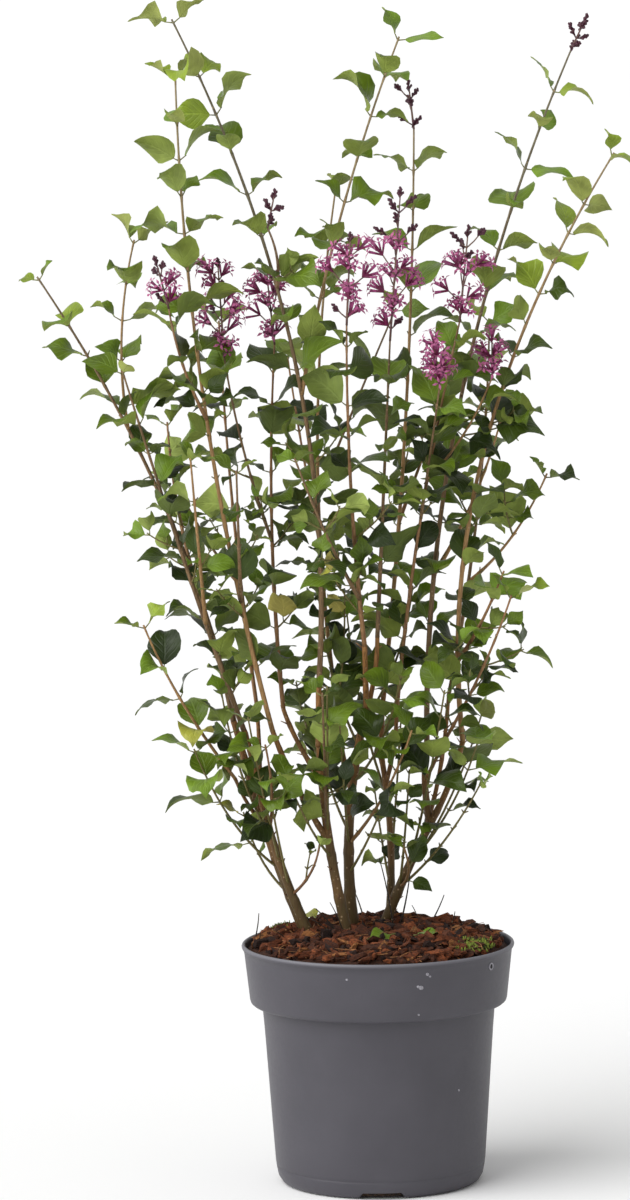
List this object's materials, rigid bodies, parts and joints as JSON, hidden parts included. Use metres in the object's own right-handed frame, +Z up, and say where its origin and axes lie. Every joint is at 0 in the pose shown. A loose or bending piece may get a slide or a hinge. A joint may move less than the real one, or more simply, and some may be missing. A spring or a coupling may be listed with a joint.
{
  "type": "potted lilac shrub",
  "caption": "Young lilac in leaf and flower, with slim upright canes fanning out from a grey plastic nursery pot mulched with bark.",
  "frame": {"origin": "middle of the pot's flat underside, on the surface that it stands on", "axes": "+Z up along the pot's axis, +X to the right and +Y away from the viewer in the front view"},
  "size_m": [0.514, 0.2873, 0.9962],
  "materials": {
    "pot_plastic": "satin moulded plastic, dark grey",
    "compost": "moist compost",
    "mulch": "rough shredded bark",
    "bark": "smooth young bark",
    "foliage": "soft satin leaf",
    "blossom": "matt petals and dark buds"
  },
  "bodies": {
    "root": {"back_bough": "bark", "back_buds": "blossom", "back_foliage": "foliage", "back_left_bough": "bark", "back_left_foliage": "foliage", "back_right_bough": "bark", "back_right_foliage": "foliage", "back_stem": "bark", "bark_mulch": "mulch", "centre_bough": "bark", "centre_stem": "bark", "fan_bough": "bark", "fan_foliage": "foliage", "fan_side_blossom": "blossom", "front_blossom": "blossom", "front_bough": "bark", "front_foliage": "foliage", "front_right_blossom": "blossom", "front_right_bough": "bark", "front_right_foliage": "foliage", "inner_blossom": "blossom", "inner_bough": "bark", "inner_foliage": "foliage", "inner_side_blossom": "blossom", "left_bough": "bark", "left_foliage": "foliage", "left_outer_bough": "bark", "left_outer_stem": "bark", "left_stem": "bark", "low_centre_sprig": "foliage", "low_front_blossom": "blossom", "low_front_foliage": "foliage", "low_left_bough": "bark", "low_left_foliage": "foliage", "low_left_sprig": "foliage", "low_middle_foliage": "foliage", "low_right_blossom": "blossom", "low_right_bough": "bark", "low_right_foliage": "foliage", "low_side_foliage": "foliage", "middle_blossom": "blossom", "middle_bough": "bark", "middle_foliage": "foliage", "outer_left_foliage": "foliage", "pot": "pot_plastic", "rear_bough": "bark", "rear_foliage": "foliage", "right_bough": "bark", "right_foliage": "foliage", "right_outer_bough": "bark", "right_outer_foliage": "foliage", "right_stem": "bark", "right_tip_buds": "blossom", "root_ball": "compost", "tall_foliage": "foliage", "tall_side_buds": "blossom", "thick_stem": "bark"}
  },
  "joints": []
}
